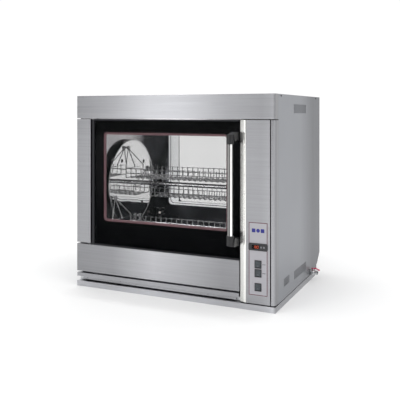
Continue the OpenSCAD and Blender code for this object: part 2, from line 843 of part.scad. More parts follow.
module gear_motor() {
    plate_x = gearbox_x - 2;
    post_y = 62;
    color("dimgray") union() {
        block([plate_x, rotor_y - post_y - 8, mesh_z - 30], [gearbox_x + 1, rotor_y + post_y + 8, mesh_z + 44]);
        block([gearbox_x, rotor_y - 38, mesh_z - 26], [gearbox_x + 26, rotor_y + 38, mesh_z + 40]);
        bar_x(30, gearbox_x + 25, gearbox_x + 72, rotor_y, mesh_z + 6, 96);
        bar_x(motor_shaft_r, gear_x - 3, gearbox_x + 1, rotor_y, mesh_z);
        for (s = [-1, 1], z = [-22, 36]) bar_x(5, cav_x1 + liner_t, plate_x + 1, rotor_y + s * post_y, mesh_z + z, 32);
    }
}

// ---------- baskets ----------

module basket(i) {
    t = wire_t;
    w = basket_w / 2;
    top = -basket_drop;
    low = top - basket_depth;
    n = floor((basket_x1 - basket_x0) / wire_pitch);
    step = (basket_x1 - basket_x0 - t) / n;
    color("gray") translate([0, pin_y(i), pin_z(i)]) union() {
        for (k = [0 : n]) {
            x = basket_x0 + k * step;
            difference() {
                block([x, -w, low], [x + t, w, top]);
                block([x - 1, -w + t, low + t], [x + t + 1, w - t, top + 1]);
            }
        }
        for (y = [-w, w - t], z = [top - t, (top + low) / 2, low])
            block([basket_x0, y, z], [basket_x1, y + t, z + t]);
        for (y = [-w / 2, 0, w / 2]) block([basket_x0, y - t / 2, low], [basket_x1, y + t / 2, low + t]);
        for (x = [basket_x0, basket_x1 - t]) block([x, -w, top - t], [x + t, w, top]);
        for (s = [-1, 1]) {
            ex = s < 0 ? eye_x : left_disc_x + right_disc_x - eye_x;
            cx = s < 0 ? basket_x0 + t / 2 : basket_x1 - t / 2;
            difference() {
                union() {
                    bar_x(eye_r, min(ex, ex - s * eye_w), max(ex, ex - s * eye_w), 0, 0, 48);
                    hx = ex - s * eye_w / 2;
                    for (y = [-w + t / 2, 0, w - t / 2]) wire([hx, y * 0.05, -eye_r + 1.5], [cx, y, top - t / 2], t);
                }
                bar_x(pin_r + run_gap, -big, big, 0, 0, 48);
            }
        }
    }
}

module basket_1() { basket(0); }
module basket_2() { basket(1); }
module basket_3() { basket(2); }
module basket_4() { basket(3); }

// ---------- services ----------

module fan_frame() {
    s = 46;
    color("black") difference() {
        union() {
            difference() {
                block([fan_x - s, fan_y, fan_z - s], [fan_x + s, fan_y + 26, fan_z + s]);
                bar_y(fan_r, fan_y - 1, fan_y + 27, fan_x, fan_z);
            }
            block([fan_x - s + 1, fan_y + 23, fan_z - 3], [fan_x + s - 1, fan_y + 26, fan_z + 3]);
            block([fan_x - 3, fan_y + 23, fan_z - s + 1], [fan_x + 3, fan_y + 26, fan_z + s - 1]);
            bar_y(15, fan_y + 23, fan_y + 26, fan_x, fan_z);
            bar_y(2.5, fan_y + 4, fan_y + 24, fan_x, fan_z, 32);
        }
    }
}

module fan_wheel() {
    hub = 16;
    color("dimgray") difference() {
        union() {
            bar_y(hub, fan_y + 2, fan_y + 21, fan_x, fan_z);
            intersection() {
                for (k = [0 : 6]) translate([fan_x, fan_y + 11.5, fan_z]) rotate([0, k * 360 / 7, 0])
                    rotate([0, 0, 35]) translate([-0.9, -10, hub - 4]) cube([1.8, 20, fan_r]);
                bar_y(fan_r - 2, fan_y + 3, fan_y + 20, fan_x, fan_z);
            }
        }
        bar_y(2.5 + run_gap, fan_y + 3.5, fan_y + 22, fan_x, fan_z, 32);
    }
}

module cable_gland() {
    color("black") difference() {
        union() {
            bar_y(8, rear_seam_y - sheet - 8, rear_seam_y, gland_x, gland_z);
            bar_y(12, rear_seam_y, rear_seam_y + 5, gland_x, gland_z, 6);
            bar_y(9, rear_seam_y + 5, rear_seam_y + 16, gland_x, gland_z);
        }
        bar_y(gland_bore_r, rear_seam_y - 20, rear_seam_y + 20, gland_x, gland_z);
    }
}

module drain_pipe() {
    color("silver") difference() {
        union() {
            bar_z(pipe_r, pipe_z, cav_z0, sump_x, pipe_y);
            bar_x(pipe_r, sump_x, half_w + 3, pipe_y, pipe_z);
            translate([sump_x, pipe_y, pipe_z]) sphere(r = pipe_r, $fn = 64);
        }
        bar_z(pipe_r - pipe_wall, pipe_z, cav_z0 + 1, sump_x, pipe_y);
        bar_x(pipe_r - pipe_wall, sump_x, half_w + 4, pipe_y, pipe_z);
    }
}

module valve_body() {
    bore = pipe_r - pipe_wall;
    color("silver") difference() {
        union() {
            bar_x(12, half_w + 3, half_w + 9, pipe_y, pipe_z, 6);
            translate([valve_x, pipe_y, pipe_z]) sphere(r = 9.5, $fn = 64);
            bar_x(pipe_r, half_w + 9, half_w + 30, pipe_y, pipe_z);
            bar_z(3, pipe_z + 8, lever_z + 5, valve_x, pipe_y, 32);
        }
        bar_x(bore, half_w + 2, valve_x - 6, pipe_y, pipe_z);
        bar_x(bore, valve_x + 6, half_w + 31, pipe_y, pipe_z);
    }
}

module valve_lever() {
    eye = 7;
    w = 5.5;
    t = 3;
    bend = 12;
    drop = 6;
    color("crimson") difference() {
        union() {
            bar_z(eye, lever_z, lever_z + t, valve_x, pipe_y);
            translate([valve_x, pipe_y + w, lever_z]) rotate([90, 0, 0]) linear_extrude(2 * w)
                polygon([[0, 0], [bend, 0], [lever_l, -drop], [lever_l, t - drop], [bend, t], [0, t]]);
        }
        bar_z(3 + run_gap, lever_z - 1, lever_z + t + 1, valve_x, pipe_y, 32);
    }
}

module panel_screws() {
    r = 3.5;
    y_list = [seam_y + 32, rear_seam_y - 10];
    color("silver") for (s = [-1, 1], y = y_list) translate([s * half_w, y, body_h - 6]) rotate([0, s * 90, 0])
        rotate_extrude($fn = 48) polygon([[0, 0], [r, 0], [r - 0.6, 1.4], [0, 1.8]]);
}

base_plate();
left_side_panel();
right_side_panel();
top_panel();
rear_panel();
rear_cover();
header_panel();
left_stile();
lower_front_panel();
column_trim();
column_fascia();
corner_strip();
label_panel();
rocker_frames();
controller_housing();
cavity_liner();
front_frame();
rear_glass();
insulation_blanket();
drawer_runners();
hinge_brackets();
hinge_pins();
shaft_bearings();
gear_motor();
upper_heaters();
lamp_housing();
fan_frame();
control_board();
cable_gland();
drain_pipe();
valve_body();
panel_screws();
door_frame();
door_hinge_stile();
door_outer_glass();
glass_border();
door_glass_seal();
door_inner_glass();
door_gasket();
handle_tube();
handle_brackets();
drip_tray();
drawer_front();
rotor_shaft();
left_rotor_disc();
right_rotor_disc();
carrier_pins();
drive_gear();
basket_1();
basket_2();
basket_3();
basket_4();
motor_pinion();
fan_wheel();
rocker_1();
rocker_2();
rocker_3();
key_up();
key_down();
valve_lever();
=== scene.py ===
"""Looks of the countertop rotisserie oven: materials, detailed pieces, studio light and camera."""
import json
import math
import bpy
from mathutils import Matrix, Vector


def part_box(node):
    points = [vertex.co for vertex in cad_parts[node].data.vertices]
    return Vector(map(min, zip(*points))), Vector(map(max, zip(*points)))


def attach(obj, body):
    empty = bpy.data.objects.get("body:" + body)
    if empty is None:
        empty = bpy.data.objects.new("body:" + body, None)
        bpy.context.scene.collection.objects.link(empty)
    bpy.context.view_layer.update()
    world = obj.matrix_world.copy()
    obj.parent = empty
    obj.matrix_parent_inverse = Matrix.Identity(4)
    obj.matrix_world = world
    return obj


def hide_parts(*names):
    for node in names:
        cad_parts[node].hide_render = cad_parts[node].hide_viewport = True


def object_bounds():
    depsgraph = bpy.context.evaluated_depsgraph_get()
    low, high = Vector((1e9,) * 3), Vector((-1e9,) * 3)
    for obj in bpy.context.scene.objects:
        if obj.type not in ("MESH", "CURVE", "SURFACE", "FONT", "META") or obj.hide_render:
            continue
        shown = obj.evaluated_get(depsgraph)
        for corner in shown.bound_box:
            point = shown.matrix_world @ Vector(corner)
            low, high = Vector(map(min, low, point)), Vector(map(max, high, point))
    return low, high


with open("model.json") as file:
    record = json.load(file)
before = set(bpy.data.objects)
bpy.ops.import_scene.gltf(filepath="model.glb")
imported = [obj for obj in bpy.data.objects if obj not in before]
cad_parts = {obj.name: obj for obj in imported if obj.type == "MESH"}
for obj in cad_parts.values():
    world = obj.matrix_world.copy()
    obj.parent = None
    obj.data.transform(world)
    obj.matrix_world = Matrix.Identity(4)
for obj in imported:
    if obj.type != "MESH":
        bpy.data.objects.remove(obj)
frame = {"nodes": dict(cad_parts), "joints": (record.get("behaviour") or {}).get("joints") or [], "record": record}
cad_box = [list(corner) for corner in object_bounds()]
NODES = frame["nodes"]
SLOT_OF = {part["node"]: part["material_slot"] for part in frame["record"]["subparts"]}
JOINT = {joint["name"]: joint for joint in frame["joints"]}
MM = 0.001

# ---------------------------------------------------------------- node helpers


class Shade:
    """A material under construction: its tree, its shader and short ways to add nodes."""

    def __init__(self, name):
        self.material = bpy.data.materials.new(name)
        self.material.use_nodes = True
        self.tree = self.material.node_tree
        self.bsdf = self.tree.nodes["Principled BSDF"]

    def node(self, kind, **settings):
        made = self.tree.nodes.new("ShaderNode" + kind)
        for key, value in settings.items():
            setattr(made, key, value)
        return made

    def link(self, source, target):
        self.tree.links.new(source, target)

    def set(self, **values):
        """Constants go straight on the shader's own sockets."""
        for key, value in values.items():
            self.bsdf.inputs[key.replace("_", " ")].default_value = value

    def place(self, scale=(1, 1, 1)):
        """Object coordinates in metres, stretched by scale."""
        coords = self.node("TexCoord")
        mapping = self.node("Mapping")
        mapping.inputs["Scale"].default_value = scale
        self.link(coords.outputs["Object"], mapping.inputs["Vector"])
        return mapping.outputs["Vector"]

    def noise(self, scale, stretch=(1, 1, 1), detail=3.0, rough=0.5):
        made = self.node("TexNoise")
        made.inputs["Scale"].default_value = scale
        made.inputs["Detail"].default_value = detail
        made.inputs["Roughness"].default_value = rough
        self.link(self.place(stretch), made.inputs["Vector"])
        return made.outputs["Fac"]

    def ramp(self, fac, *stops):
        """Colours at places along fac."""
        made = self.node("ValToRGB")
        ends = made.color_ramp.elements
        while len(ends) < len(stops):
            ends.new(0.5)
        for end, (position, value) in zip(ends, stops):
            end.position = position
            end.color = (*value, 1)
        self.link(fac, made.inputs["Fac"])
        return made.outputs["Color"]

    def span(self, fac, low, high, from_low=0.0, from_high=1.0):
        """fac from one range taken to another."""
        made = self.node("MapRange")
        ends = {"From Min": from_low, "From Max": from_high, "To Min": low, "To Max": high}
        for key, value in ends.items():
            made.inputs[key].default_value = value
        self.link(fac, made.inputs["Value"])
        return made.outputs["Result"]

    def mix(self, fac, a, b, blend="MIX"):
        """Two colours or links mixed by a link or a number."""
        made = self.node("Mix", data_type="RGBA", blend_type=blend)
        for value, socket in ((fac, made.inputs[0]), (a, made.inputs[6]), (b, made.inputs[7])):
            if isinstance(value, bpy.types.NodeSocket):
                self.link(value, socket)
            elif isinstance(value, (int, float)):
                socket.default_value = value
            else:
                socket.default_value = (*value, 1)
        return made.outputs[2]

    def bump(self, height, depth, strength=0.5):
        made = self.node("Bump")
        made.inputs["Strength"].default_value = strength
        made.inputs["Distance"].default_value = depth
        self.link(height, made.inputs["Height"])
        self.link(made.outputs["Normal"], self.bsdf.inputs["Normal"])

    def shaded(self, colour, painted_sheen):
        """The colour under painted reflection and shade: an axis, the ends of its range, and grey levels between
        them that multiply the colour.
        """
        if not painted_sheen:
            return colour
        axis, first, last, stops = painted_sheen
        greys = [(place, (level, level, level)) for place, level in stops]
        cover = self.ramp(self.span(self.axis(axis), 0.0, 1.0, first, last), *greys)
        return self.mix(1.0, colour, cover, "MULTIPLY")

    def axis(self, index):
        made = self.node("SeparateXYZ")
        self.link(self.place(), made.inputs["Vector"])
        return made.outputs[index]


def tinted(tone, factor):
    """A tone made lighter or darker."""
    return tuple(min(1.0, value * factor) for value in tone)


# ---------------------------------------------------------------- materials


BRUSH_LINES = 260.0
BRUSH_LENGTH = 3.0


def steel(name, tone, rough=0.3, along=0, contrast=0.08, metallic=1.0, painted_sheen=None):
    """Brushed sheet: fine streaks along one axis, broad, faint handling marks, and, where given, painted
    reflection and shade.
    """
    s = Shade(name)
    stretch = [BRUSH_LINES, BRUSH_LINES, BRUSH_LINES]
    stretch[along] = BRUSH_LENGTH
    streaks = s.noise(1.0, stretch, detail=4.0, rough=0.6)
    marks = s.noise(5.0, detail=2.0)
    colour = s.ramp(streaks, (0.3, tinted(tone, 1 - contrast)), (0.7, tinted(tone, 1 + contrast)))
    colour = s.mix(s.span(marks, 0.0, 0.3, 0.4, 0.7), colour, tinted(tone, 0.9))
    s.link(s.shaded(colour, painted_sheen), s.bsdf.inputs["Base Color"])
    s.link(s.span(streaks, rough - 0.05, rough + 0.05, 0.3, 0.7), s.bsdf.inputs["Roughness"])
    s.set(Metallic=metallic)
    s.bump(streaks, 0.00002, 0.35)
    return s.material


def polished(name, tone, rough=0.06, waviness=0.0003, scale=14.0, metallic=1.0, painted_sheen=None):
    """Plated or polished metal with a slow waviness, fine wipe marks and, where given, painted reflection and
    shade.
    """
    s = Shade(name)
    wave = s.noise(scale, detail=1.0)
    wipes = s.noise(90.0, (1, 1, 6), detail=3.0)
    colour = s.ramp(wipes, (0.35, tinted(tone, 0.94)), (0.65, tone))
    s.link(s.shaded(colour, painted_sheen), s.bsdf.inputs["Base Color"])
    s.link(s.span(wipes, rough * 0.6, rough * 1.8, 0.35, 0.7), s.bsdf.inputs["Roughness"])
    s.set(Metallic=metallic)
    s.bump(wave, waviness, 0.5)
    return s.material


def plastic(name, tone, rough=0.45, grain=1400.0, coat=0.0):
    """Moulded plastic with a fine grain and slightly worn high spots."""
    s = Shade(name)
    pits = s.noise(grain, detail=2.0)
    wear = s.noise(60.0, detail=3.0)
    s.link(s.ramp(wear, (0.35, tone), (0.75, tinted(tone, 1.5))), s.bsdf.inputs["Base Color"])
    s.link(s.span(wear, rough - 0.06, rough + 0.1), s.bsdf.inputs["Roughness"])
    s.set(Coat_Weight=coat, Coat_Roughness=0.08)
    s.bump(pits, 0.00004, 0.6)
    return s.material


def rubber(name, tone):
    """Moulded rubber or silicone with a film of dust."""
    s = Shade(name)
    dust = s.noise(180.0, detail=4.0)
    s.link(s.ramp(dust, (0.4, tone), (0.8, tinted(tone, 1.4))), s.bsdf.inputs["Base Color"])
    s.link(s.span(dust, 0.42, 0.6), s.bsdf.inputs["Roughness"])
    s.bump(dust, 0.0001, 0.4)
    return s.material


def glass(name, tone, alpha):
    """A clear pane: mostly see-through, with a faint film of smears in its gloss."""
    s = Shade(name)
    smears = s.noise(7.0, (1, 1, 2.5), detail=5.0, rough=0.6)
    s.link(s.ramp(smears, (0.3, tinted(tone, 0.96)), (0.7, tone)), s.bsdf.inputs["Base Color"])
    s.link(s.span(smears, 0.01, 0.05, 0.3, 0.8), s.bsdf.inputs["Roughness"])
    s.set(Alpha=alpha, IOR=1.5, Specular_IOR_Level=0.08)
    s.material.blend_method = "BLEND"
    return s.material


def enamel(name, tone, rough):
    """Fired black print behind the pane: faint pinholes, and more gloss near its top."""
    s = Shade(name)
    lo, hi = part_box("glass_border")
    pinholes = s.noise(700.0, detail=1.0)
    s.link(s.ramp(pinholes, (0.6, tone), (0.8, tinted(tone, 2.0))), s.bsdf.inputs["Base Color"])
    s.link(s.span(pinholes, rough, rough + 0.08), s.bsdf.inputs["Roughness"])
    s.link(s.span(s.axis(2), 0.0, 0.09, lo.z, hi.z), s.bsdf.inputs["Specular IOR Level"])
    s.bump(pinholes, 0.00003, 0.3)
    return s.material


def cast(name, tone, rough=0.5):
    """Cast or cut metal with a lumpy skin."""
    s = Shade(name)
    lumps = s.noise(320.0, detail=5.0)
    s.link(s.ramp(lumps, (0.35, tinted(tone, 0.8)), (0.7, tinted(tone, 1.2))), s.bsdf.inputs["Base Color"])
    s.link(s.span(lumps, rough - 0.1, rough + 0.1), s.bsdf.inputs["Roughness"])
    s.set(Metallic=0.9)
    s.bump(lumps, 0.0002, 0.5)
    return s.material


def fibres(name, tone):
    """Mineral wool: tangled strands, very rough."""
    s = Shade(name)
    strands = s.noise(240.0, (1, 4, 4), detail=6.0, rough=0.7)
    s.link(s.ramp(strands, (0.3, tinted(tone, 0.6)), (0.7, tinted(tone, 1.25))), s.bsdf.inputs["Base Color"])
    s.set(Roughness=0.95)
    s.bump(strands, 0.002, 0.8)
    return s.material


def board(name, tone):
    """Solder mask with copper tracks showing as lighter lines."""
    s = Shade(name)
    tracks = s.node("TexVoronoi", feature="DISTANCE_TO_EDGE", distance="MANHATTAN")
    tracks.inputs["Scale"].default_value = 160.0
    s.link(s.place(), tracks.inputs["Vector"])
    lines = s.ramp(tracks.outputs["Distance"], (0.02, tinted(tone, 2.2)), (0.06, tone))
    s.link(lines, s.bsdf.inputs["Base Color"])
    s.set(Roughness=0.35)
    s.bump(tracks.outputs["Distance"], 0.0001, 0.3)
    return s.material


def glow(name, tone, strength):
    """A lit surface with a slight unevenness."""
    s = Shade(name)
    cells = s.noise(900.0, detail=1.0)
    lit = s.ramp(cells, (0.3, tinted(tone, 0.8)), (0.7, tone))
    s.link(lit, s.bsdf.inputs["Base Color"])
    s.link(lit, s.bsdf.inputs["Emission Color"])
    s.set(Emission_Strength=strength, Roughness=0.3)
    return s.material


def cavity_lining(name, tone, dark):
    """Heat-dulled steel walls, painted lighter near the front and darker towards the rear as painted light and
    shade; the rear wall and the floor are painted dark as shade.
    """
    s = Shade(name)
    lo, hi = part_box("cavity_liner")
    streaks = s.noise(1.0, (260.0, 260.0, 3.0), detail=4.0, rough=0.6)
    soot = s.noise(9.0, detail=4.0)
    wall = s.ramp(streaks, (0.3, tinted(tone, 0.88)), (0.7, tinted(tone, 1.1)))
    # Painted light and shade: the walls are lighter near the front and darker towards the rear.
    depth = s.span(s.axis(1), 0.0, 1.0, lo.y, hi.y)
    shade = s.ramp(depth, (0.55, (1.25, 1.25, 1.25)), (0.82, (0.35, 0.35, 0.36)))
    wall = s.mix(1.0, wall, shade, "MULTIPLY")
    # Painted shade: the rear wall and the floor take a darker, mottled tone.
    rear = s.span(s.axis(1), 0.0, 1.0, hi.y - 0.004, hi.y - 0.002)
    floor = s.span(s.axis(2), 1.0, 0.0, lo.z + 0.003, lo.z + 0.012)
    painted_inner_shade = s.ramp(soot, (0.3, tinted(dark, 0.7)), (0.7, tinted(dark, 1.3)))
    colour = s.mix(rear, wall, painted_inner_shade)
    s.link(s.mix(floor, colour, painted_inner_shade), s.bsdf.inputs["Base Color"])
    s.link(s.span(soot, 0.10, 0.24), s.bsdf.inputs["Roughness"])
    s.set(Metallic=0.9)
    s.bump(streaks, 0.00003, 0.4)
    return s.material


def across(name, stops):
    """Painted reflection and shade over the width of one node."""
    lo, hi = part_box(name)
    return (0, lo.x, hi.x, stops)


# Painted reflection and shade: an axis, the ends of its range, and grey levels at places between them that
# multiply a colour.
HALF_W = 0.404
# Painted reflection across the front: lighter in the middle, with a painted highlight and a darker edge on the
# right corner strip.
FRONT_PAINTED_SHEEN = (0, -HALF_W, HALF_W, (
    (0.0, 0.82), (0.22, 0.86), (0.4, 1.03), (0.56, 1.0), (0.78, 0.84), (0.94, 0.90),
    (0.975, 1.02), (0.99, 1.12), (1.0, 0.62)))
# Stronger painted reflection across the lower front panel, brightest a little left of the middle.
LOW_PAINTED_SHEEN = (0, -HALF_W, HALF_W, (
    (0.0, 0.66), (0.2, 0.74), (0.42, 1.22), (0.54, 1.10), (0.76, 0.76), (1.0, 0.76)))
# Painted shade along the sides: darker towards the rear, the rear face lighter again.
SIDE_PAINTED_SHADE = (1, -0.3, 0.31, ((0.0, 0.88), (0.5, 0.84), (0.8, 0.50), (0.985, 0.50), (1.0, 0.95)))
# Painted shade on the trim's flange and a painted highlight on its rounded nose, dark at its far edge.
TRIM_PAINTED_SHEEN = across("column_trim", ((0.0, 0.68), (0.46, 0.76), (0.53, 1.05), (0.90, 1.05), (1.0, 0.2)))
# Painted reflection across the handle tube: grey, then a dark line, then a bright highlight.
HANDLE_PAINTED_REFLECTION = across("handle_tube", (
    (0.0, 0.4), (0.3, 0.32), (0.47, 0.3), (0.54, 0.01), (0.655, 0.01),
    (0.69, 1.2), (0.93, 1.2), (0.97, 0.4), (1.0, 0.3)))
SATIN = (0.41, 0.413, 0.432)
MATERIALS = {
    # The satin front carries the painted reflection across the front.
    "satin_steel": steel("satin_steel", SATIN, rough=0.34, along=0, painted_sheen=FRONT_PAINTED_SHEEN),
    # A copy of the satin front that differs only by a stronger painted reflection.
    "satin_low": steel("satin_low", SATIN, rough=0.34, along=0, painted_sheen=LOW_PAINTED_SHEEN),
    # A lighter copy of the satin front: painted light on the base plate, with the front's painted reflection.
    "satin_base": steel("satin_base", tinted(SATIN, 1.42), rough=0.34, along=0, painted_sheen=FRONT_PAINTED_SHEEN),
    # Side sheets: their tone, darker than the front's, is partly painted shade, and painted shade darkens them
    # towards the rear.
    "side_steel": steel("side_steel", (0.335, 0.345, 0.37), rough=0.42, along=2, contrast=0.06,
                        painted_sheen=SIDE_PAINTED_SHADE),
    # The trim carries painted shade on its flange and a painted highlight on its nose.
    "bright_trim": steel("bright_trim", (0.93, 0.93, 0.90), rough=0.2, along=2, contrast=0.03,
                         painted_sheen=TRIM_PAINTED_SHEEN),
    # The rear window's lining glows as painted light standing for the light that falls into its tunnel.
    "reveal_white": glow("reveal_white", (0.92, 0.93, 0.94), 0.32),
    "label_face": steel("label_face", (0.45, 0.445, 0.475), rough=0.45, contrast=0.03, metallic=0.4),
    "black_plastic": plastic("black_plastic", (0.022, 0.022, 0.025)),
    "rocker_plastic": plastic("rocker_plastic", (0.035, 0.045, 0.052), rough=0.3, coat=0.2),
    "key_plastic": plastic("key_plastic", (0.12, 0.12, 0.13), rough=0.55),
    "cavity_steel": cavity_lining("cavity_steel", (0.38, 0.37, 0.38), (0.28, 0.285, 0.31)),
    "clear_glass": glass("clear_glass", (0.02, 0.025, 0.025), 0.055),
    "display_window": glass("display_window", (0.01, 0.008, 0.008), 0.55),
    "black_enamel": enamel("black_enamel", (0.002, 0.002, 0.0025), 0.5),
    "mineral_wool": fibres("mineral_wool", (0.55, 0.50, 0.38)),
    "zinc_steel": steel("zinc_steel", (0.55, 0.56, 0.57), rough=0.35, along=1),
    "pin_steel": steel("pin_steel", (0.50, 0.50, 0.51), rough=0.22, along=0, contrast=0.05),
    "screw_dark": cast("screw_dark", (0.05, 0.05, 0.055), rough=0.4),
    "bearing_bronze": cast("bearing_bronze", (0.50, 0.33, 0.15), rough=0.4),
    "motor_paint": plastic("motor_paint", (0.06, 0.065, 0.07), rough=0.4, grain=500.0),
    "heater_sheath": steel("heater_sheath", (0.16, 0.15, 0.14), rough=0.5, along=0, contrast=0.25),
    "lamp_metal": polished("lamp_metal", (0.28, 0.28, 0.29), rough=0.2),
    "circuit_board": board("circuit_board", (0.03, 0.18, 0.07)),
    "pipe_steel": steel("pipe_steel", (0.60, 0.61, 0.62), rough=0.28, along=0, contrast=0.05),
    "lever_red": plastic("lever_red", (0.42, 0.015, 0.075), rough=0.3, grain=600.0, coat=0.3),
    # The dark frame's near-black tone is painted shade standing for the shadow on the door stile's return.
    "dark_frame": steel("dark_frame", (0.028, 0.028, 0.032), rough=0.42, along=2, contrast=0.1, metallic=0.8),
    "red_silicone": rubber("red_silicone", (0.13, 0.06, 0.07)),
    "black_rubber": rubber("black_rubber", (0.02, 0.02, 0.02)),
    # The handle tube carries a painted reflection across its width.
    "chrome_tube": polished("chrome_tube", (0.85, 0.84, 0.83), rough=0.16, painted_sheen=HANDLE_PAINTED_REFLECTION),
    "bracket_plastic": plastic("bracket_plastic", (0.008, 0.008, 0.009), rough=0.3),
    # The tray carries the front's painted reflection.
    "tray_steel": steel("tray_steel", SATIN, rough=0.3, along=1, painted_sheen=FRONT_PAINTED_SHEEN),
    "polished_steel": polished("polished_steel", (0.86, 0.86, 0.86), rough=0.05, waviness=0.004, scale=9.0),
    "gear_steel": cast("gear_steel", (0.30, 0.31, 0.33), rough=0.35),
    "wire_chrome": polished("wire_chrome", (0.50, 0.50, 0.51), rough=0.2, metallic=0.7),
    "motif_blue": plastic("motif_blue", (0.015, 0.018, 0.20), rough=0.35),
    "print_light": plastic("print_light", (0.14, 0.15, 0.16), rough=0.4),
    "print_red": plastic("print_red", (0.10, 0.02, 0.03), rough=0.4),
    "print_grey": plastic("print_grey", (0.07, 0.07, 0.08), rough=0.4),
    "digit_red": glow("digit_red", (0.60, 0.09, 0.04), 0.45),
    "lamp_glow": glow("lamp_glow", (1.0, 0.95, 0.88), 0.35),
}


# Nodes that look unlike the rest of their slot, the lower front panel and the base plate only by painted light,
# and the eased edges of sheet and moulded slots in mm
OWN_FINISH = {"lower_front_panel": "satin_low", "base_plate": "satin_base", "panel_screws": "screw_dark"}
EDGE_WIDTH = {
    "satin_steel": 0.8, "side_steel": 0.5, "bright_trim": 0.4, "label_face": 0.2, "black_plastic": 0.4,
    "rocker_plastic": 0.5, "key_plastic": 0.5, "bracket_plastic": 1.5, "lever_red": 0.8, "dark_frame": 0.6,
    "tray_steel": 0.4, "motor_paint": 1.2, "polished_steel": 0.5, "lamp_metal": 0.8, "clear_glass": 0.3,
}


def eased(piece, width):
    """Rounds off the sharp edges of a piece by a width in mm."""
    edge = piece.modifiers.new("eased_edges", "BEVEL")
    edge.width = width * MM
    edge.segments = 2
    edge.limit_method = "ANGLE"
    edge.angle_limit = math.radians(40)
    edge.use_clamp_overlap = True


def dress_cad_nodes():
    """Every carried-over node gets its material, soft shading and, in some slots, eased edges."""
    for name, node in NODES.items():
        slot = SLOT_OF[name]
        node.data.materials.clear()
        node.data.materials.append(MATERIALS[OWN_FINISH.get(name, slot)])
        node.data.shade_smooth()
        node.data.set_sharp_from_angle(angle=math.radians(30))
        if slot in EDGE_WIDTH:
            eased(node, EDGE_WIDTH[slot])


# ---------------------------------------------------------------- detailed pieces


def mesh_piece(name, made, material, body, smooth=True, replaced=()):
    """A mesh object that rides on a body, takes a slot and may stand for CAD nodes."""
    data = bpy.data.meshes.new(name)
    data.from_pydata(made.vertices, [], made.faces)
    data.validate()
    data.materials.append(MATERIALS[material])
    if smooth:
        data.shade_smooth()
        data.set_sharp_from_angle(angle=math.radians(40))
    piece = bpy.data.objects.new(name, data)
    bpy.context.scene.collection.objects.link(piece)
    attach(piece, body)
    if replaced:
        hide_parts(*replaced)
    return piece


class Build:
    """Collects vertices and faces of a piece."""

    def __init__(self):
        self.vertices = []
        self.faces = []

    def add(self, vertices, faces):
        start = len(self.vertices)
        self.vertices += [tuple(v) for v in vertices]
        self.faces += [tuple(start + i for i in face) for face in faces]

    def tube(self, path, radius, sides=10, closed=False):
        """A round wire along a path, mitred at its corners."""
        path = [Vector(p) for p in path]
        count = len(path)
        rings = []
        normal = None
        for k, point in enumerate(path):
            before = path[(k - 1) % count] if closed or k > 0 else None
            after = path[(k + 1) % count] if closed or k < count - 1 else None
            into = (point - before).normalized() if before else (after - point).normalized()
            out = (after - point).normalized() if after else into
            along = (into + out).normalized()
            if normal is None:
                seed = Vector((0, 0, 1)) if abs(along.z) < 0.9 else Vector((1, 0, 0))
                normal = along.cross(seed).normalized()
            normal = (normal - along * normal.dot(along)).normalized()
            side = along.cross(normal)
            widen = 1 / max(0.5, along.dot(out))
            bend = out - into
            bend = bend - along * bend.dot(along)
            bend = bend.normalized() if bend.length > 1e-6 else None
            ring = []
            for j in range(sides):
                angle = 2 * math.pi * j / sides
                offset = (normal * math.cos(angle) + side * math.sin(angle)) * radius
                if bend:
                    offset += bend * offset.dot(bend) * (widen - 1)
                ring.append(point + offset)
            rings.append(ring)
        faces = []
        spans = count if closed else count - 1
        for k in range(spans):
            a, b = k * sides, ((k + 1) % count) * sides
            faces += [(a + j, a + (j + 1) % sides, b + (j + 1) % sides, b + j) for j in range(sides)]
        if not closed:
            faces += [tuple(reversed(range(sides))), tuple(range((count - 1) * sides, count * sides))]
        self.add([v for ring in rings for v in ring], faces)

    def box(self, lo, hi):
        """A block between two corners."""
        x0, y0, z0 = lo
        x1, y1, z1 = hi
        corners = [(x, y, z) for z in (z0, z1) for y in (y0, y1) for x in (x0, x1)]
        faces = [(0, 2, 3, 1), (4, 5, 7, 6), (0, 1, 5, 4), (2, 6, 7, 3), (0, 4, 6, 2), (1, 3, 7, 5)]
        self.add(corners, faces)

    def lathe(self, profile, centre, axis="x", steps=64):
        """A closed profile of (along, radius) points turned about the x or y axis through centre."""
        count = len(profile)
        points = []
        for k in range(steps):
            angle = 2 * math.pi * k / steps
            for along, radius in profile:
                out, up = radius * math.cos(angle), radius * math.sin(angle)
                if axis == "x":
                    points.append((centre[0] + along, centre[1] + out, centre[2] + up))
                else:
                    points.append((centre[0] + out, centre[1] + along, centre[2] + up))
        faces = []
        for k in range(steps):
            a, b = k * count, (k + 1) % steps * count
            faces += [(a + j, a + (j + 1) % count, b + (j + 1) % count, b + j) for j in range(count)]
        self.add(points, faces)

    def slab(self, outline, y0, y1):
        """A flat shape in the XZ plane, given by its outline, from y0 to y1."""
        count = len(outline)
        points = [(x, y0, z) for x, z in outline] + [(x, y1, z) for x, z in outline]
        faces = [tuple(range(count)), tuple(reversed(range(count, 2 * count)))]
        for j in range(count):
            following = (j + 1) % count
            faces.append((j + count, following + count, following, j))
        self.add(points, faces)


def arc(centre, radius, start, end, steps):
    """Points of an arc in a plane, angles in degrees."""
    out = []
    for k in range(steps + 1):
        angle = math.radians(start + (end - start) * k / steps)
        out.append((centre[0] + radius * math.cos(angle), centre[1] + radius * math.sin(angle)))
    return out


def rounded(x0, x1, z0, z1, radius, steps=6):
    """A rounded rectangle's outline."""
    out = []
    for cx, cz, start in ((x1 - radius, z0 + radius, -90), (x1 - radius, z1 - radius, 0),
                          (x0 + radius, z1 - radius, 90), (x0 + radius, z0 + radius, 180)):
        out += arc((cx, cz), radius, start, start + 90, steps)
    return out


WIRE = 2.0 * MM
THIN_WIRE = 0.9 * WIRE
TROUGH_MARGIN = 5 * MM
CROSS_WIRES = 21


